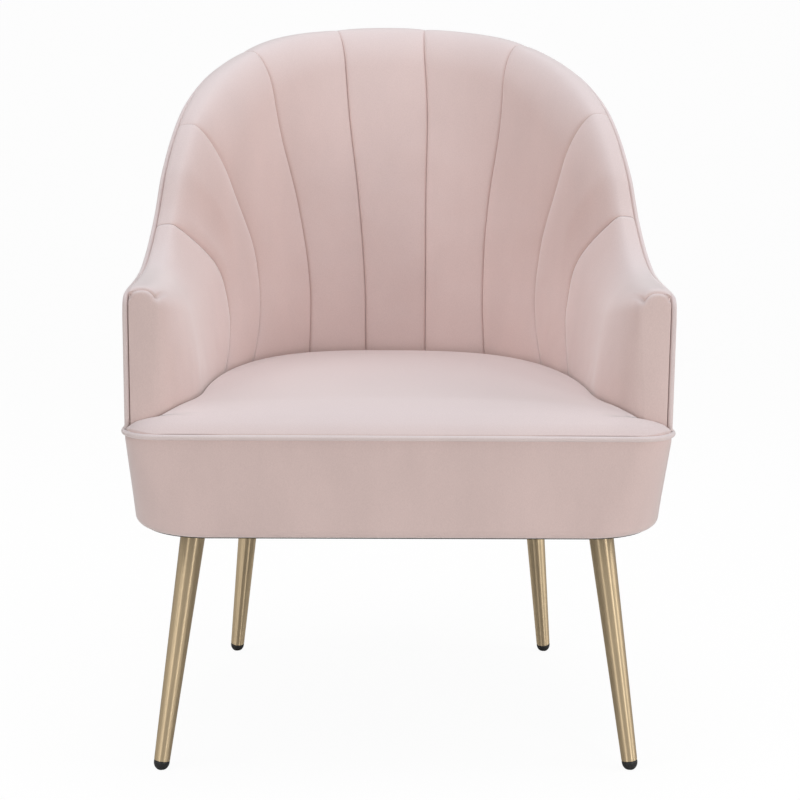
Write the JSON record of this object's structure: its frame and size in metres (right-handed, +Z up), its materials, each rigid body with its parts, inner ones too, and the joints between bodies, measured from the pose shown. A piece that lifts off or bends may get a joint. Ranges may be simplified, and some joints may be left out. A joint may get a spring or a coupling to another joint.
{
  "type": "upholstered accent chair",
  "caption": "Barrel accent chair with a channelled, arched back running down into low arms, a tight crowned seat, a piped base band and splayed tapered metal legs.",
  "frame": {"origin": "on the floor under the middle of the chair's overall width and depth", "axes": "+Z up, +Y from the sitter's front to the back of the chair, +X to the right seen from the front"},
  "size_m": [0.6564, 0.6958, 0.919],
  "materials": {
    "velvet": "short matt velvet, pale blush pink",
    "piping": "velvet-covered cord, as the covers",
    "foam": "open-cell upholstery foam",
    "felt": "needled insulator felt",
    "plywood": "unfinished plywood and hardwood",
    "elastic": "woven elastic webbing",
    "dust_cloth": "black non-woven cloth",
    "brass_finish": "steel tube brushed lengthwise and plated in a champagne brass tone",
    "steel": "zinc-plated steel",
    "black_plastic": "moulded black plastic"
  },
  "bodies": {
    "root": {"seat_cover": "velvet", "base_band": "velvet", "outside_cover": "velvet", "arm_pad_left": "velvet", "arm_pad_right": "velvet", "back_channel_1": "velvet", "back_channel_2": "velvet", "back_channel_3": "velvet", "back_channel_4": "velvet", "back_channel_5": "velvet", "back_channel_6": "velvet", "back_channel_7": "velvet", "base_welt": "piping", "shell_welt": "piping", "seat_foam": "foam", "seat_insulator": "felt", "base_lower_board": "plywood", "seat_ring_board": "plywood", "base_skirt_board": "plywood", "base_spacer_front": "plywood", "base_spacer_rear": "plywood", "shell_sill_rail": "plywood", "shell_top_rail": "plywood", "arm_post_left": "plywood", "arm_post_right": "plywood", "corner_block_front_left": "plywood", "corner_block_front_right": "plywood", "corner_block_rear_left": "plywood", "corner_block_rear_right": "plywood", "back_stile_1": "plywood", "back_stile_2": "plywood", "back_stile_3": "plywood", "back_stile_4": "plywood", "back_stile_5": "plywood", "back_webbing_1": "elastic", "back_webbing_2": "elastic", "back_webbing_3": "elastic", "dust_cover": "dust_cloth", "leg_front_left_tube": "brass_finish", "leg_front_right_tube": "brass_finish", "leg_rear_left_tube": "brass_finish", "leg_rear_right_tube": "brass_finish", "leg_front_left_stud": "steel", "leg_front_right_stud": "steel", "leg_rear_left_stud": "steel", "leg_rear_right_stud": "steel", "leg_front_left_insert": "steel", "leg_front_right_insert": "steel", "leg_rear_left_insert": "steel", "leg_rear_right_insert": "steel", "seat_spring_1": "steel", "seat_spring_2": "steel", "seat_spring_3": "steel", "seat_spring_4": "steel", "leg_front_left_glide": "black_plastic", "leg_front_right_glide": "black_plastic", "leg_rear_left_glide": "black_plastic", "leg_rear_right_glide": "black_plastic"}
  },
  "joints": []
}
